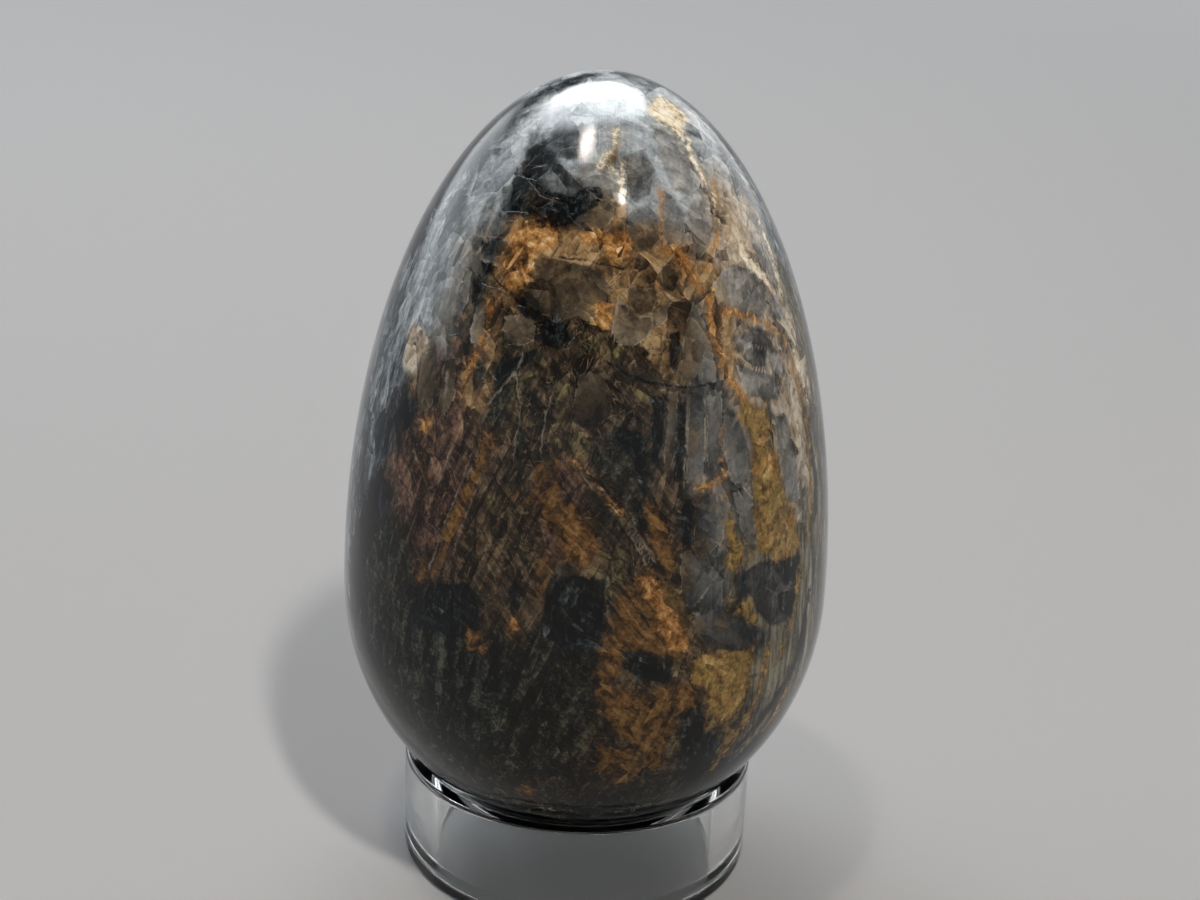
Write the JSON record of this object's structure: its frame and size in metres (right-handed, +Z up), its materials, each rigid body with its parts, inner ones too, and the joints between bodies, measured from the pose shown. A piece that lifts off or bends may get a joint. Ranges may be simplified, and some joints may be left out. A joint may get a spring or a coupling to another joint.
{
  "type": "decorative egg on stand",
  "caption": "Polished dark stone egg, blunt end down, resting loose on the bevelled seat of a short clear ring stand; the egg lifts out.",
  "frame": {"origin": "centre of the ring's underside, on the surface that the ring stands on", "axes": "+Z up along the egg's long axis, from the blunt end to the pointed end; the object is round about +Z, so +X and +Y are free, and the picture looks along +Y"},
  "size_m": [0.0432, 0.0432, 0.0731],
  "materials": {
    "polished_stone": "polished, dark blue-black with rust and grey patches",
    "clear_acrylic": "clear, polished"
  },
  "bodies": {
    "stand": {"ring_stand": "clear_acrylic"},
    "egg": {"stone_egg": "polished_stone"}
  },
  "joints": [
    {"name": "egg_lift", "type": "slide", "parent": "stand", "child": "egg", "axis": [0, 0, 1], "range_m": [0, 0.03]}
  ]
}
